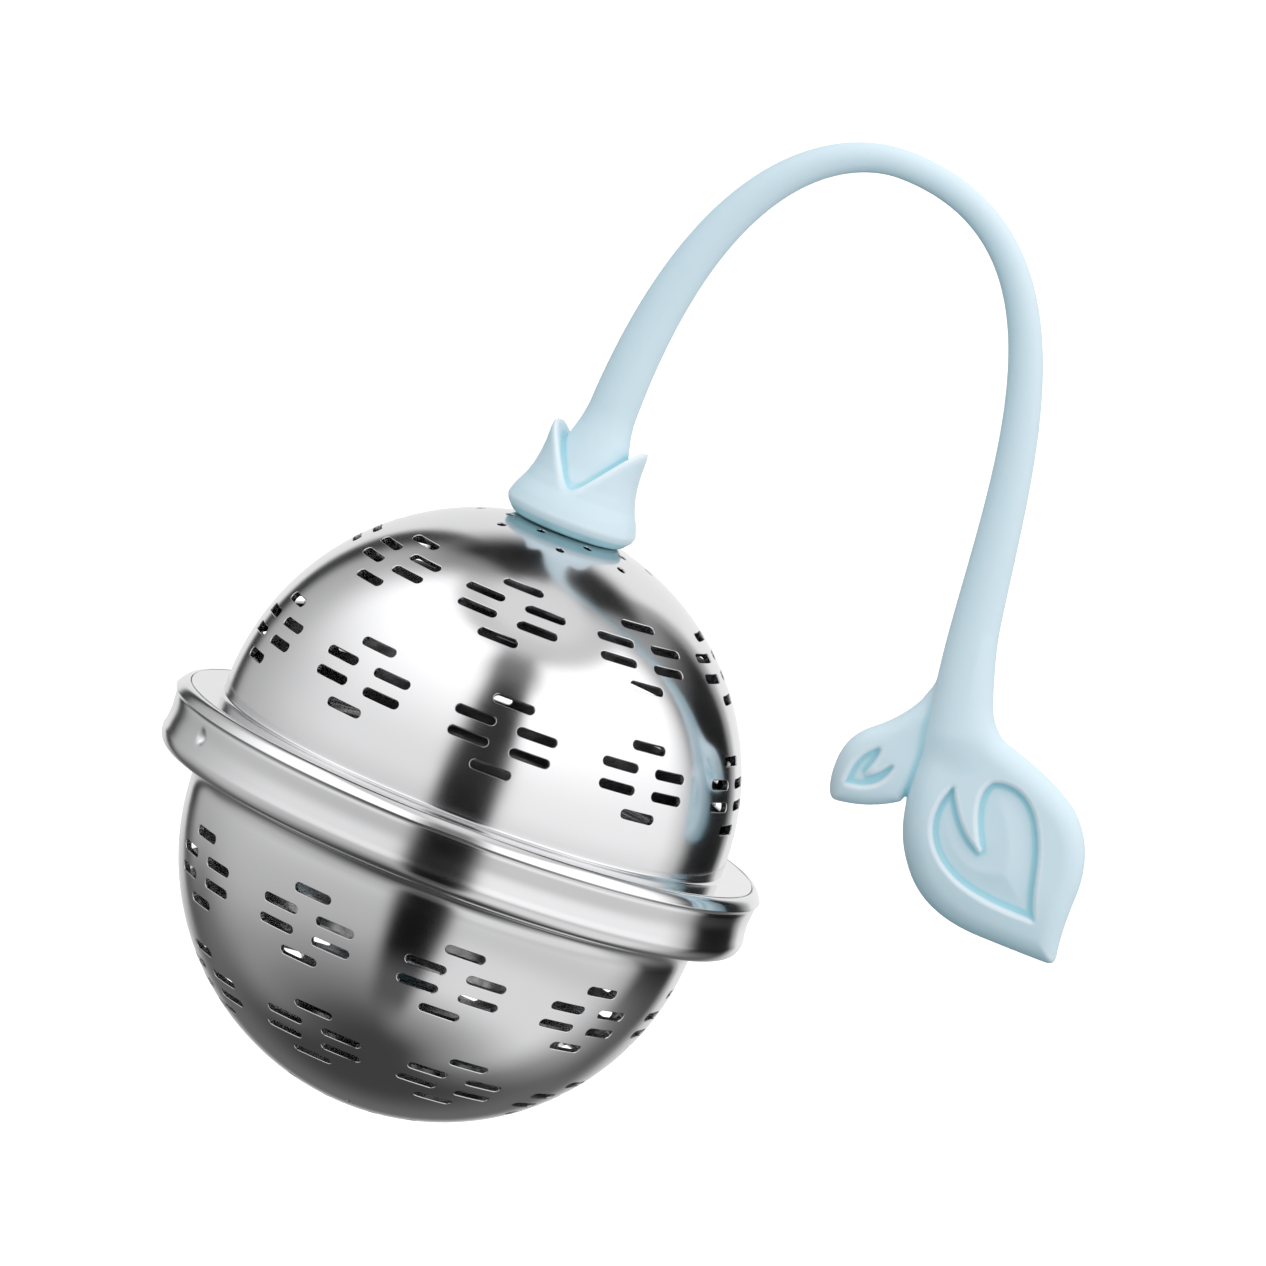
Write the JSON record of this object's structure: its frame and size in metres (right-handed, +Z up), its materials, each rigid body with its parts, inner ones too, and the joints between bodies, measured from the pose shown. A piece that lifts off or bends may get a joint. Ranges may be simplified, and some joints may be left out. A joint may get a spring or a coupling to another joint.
{
  "type": "tea infuser",
  "caption": "Perforated steel tea ball in two twist-locked halves, hung on a bent silicone stem that hooks over a cup's rim and ends in leaves.",
  "frame": {"origin": "the point inside the top of the stem's arch, where a cup's rim sits when the infuser hangs", "axes": "+Z up along the ball's axis, +X from the ball towards the leaves in the plane of the arch, +Y to the back"},
  "size_m": [0.0742, 0.05, 0.0885],
  "materials": {
    "steel": "polished stainless steel, soft mirror reflections",
    "silicone": "matte pale powder-blue food-grade silicone, slightly translucent"
  },
  "bodies": {
    "handle": {"calyx_plug": "silicone", "stem_inner_half": "silicone"},
    "handle_end": {"stem_outer_half": "silicone", "large_leaf": "silicone", "small_leaf": "silicone"},
    "upper_ball": {"upper_shell": "steel"},
    "lower_ball": {"lower_shell": "steel"}
  },
  "joints": [
    {"name": "stem_flex", "type": "hinge", "parent": "handle", "child": "handle_end", "pos_m": [0, 0, 0.00118], "axis": [0, -1, 0], "range_deg": [-5, 45], "stiffness_Nm_per_rad": 0.02},
    {"name": "twist_lock", "type": "hinge", "parent": "handle", "child": "upper_ball", "pos_m": [-0.01479, 0, -0.06089], "axis": [0, 0, 1], "range_deg": [0, 28]},
    {"name": "ball_pull_off", "type": "slide", "parent": "handle", "child": "lower_ball", "axis": [0, 0, -1], "range_m": [0, 0.06]}
  ]
}
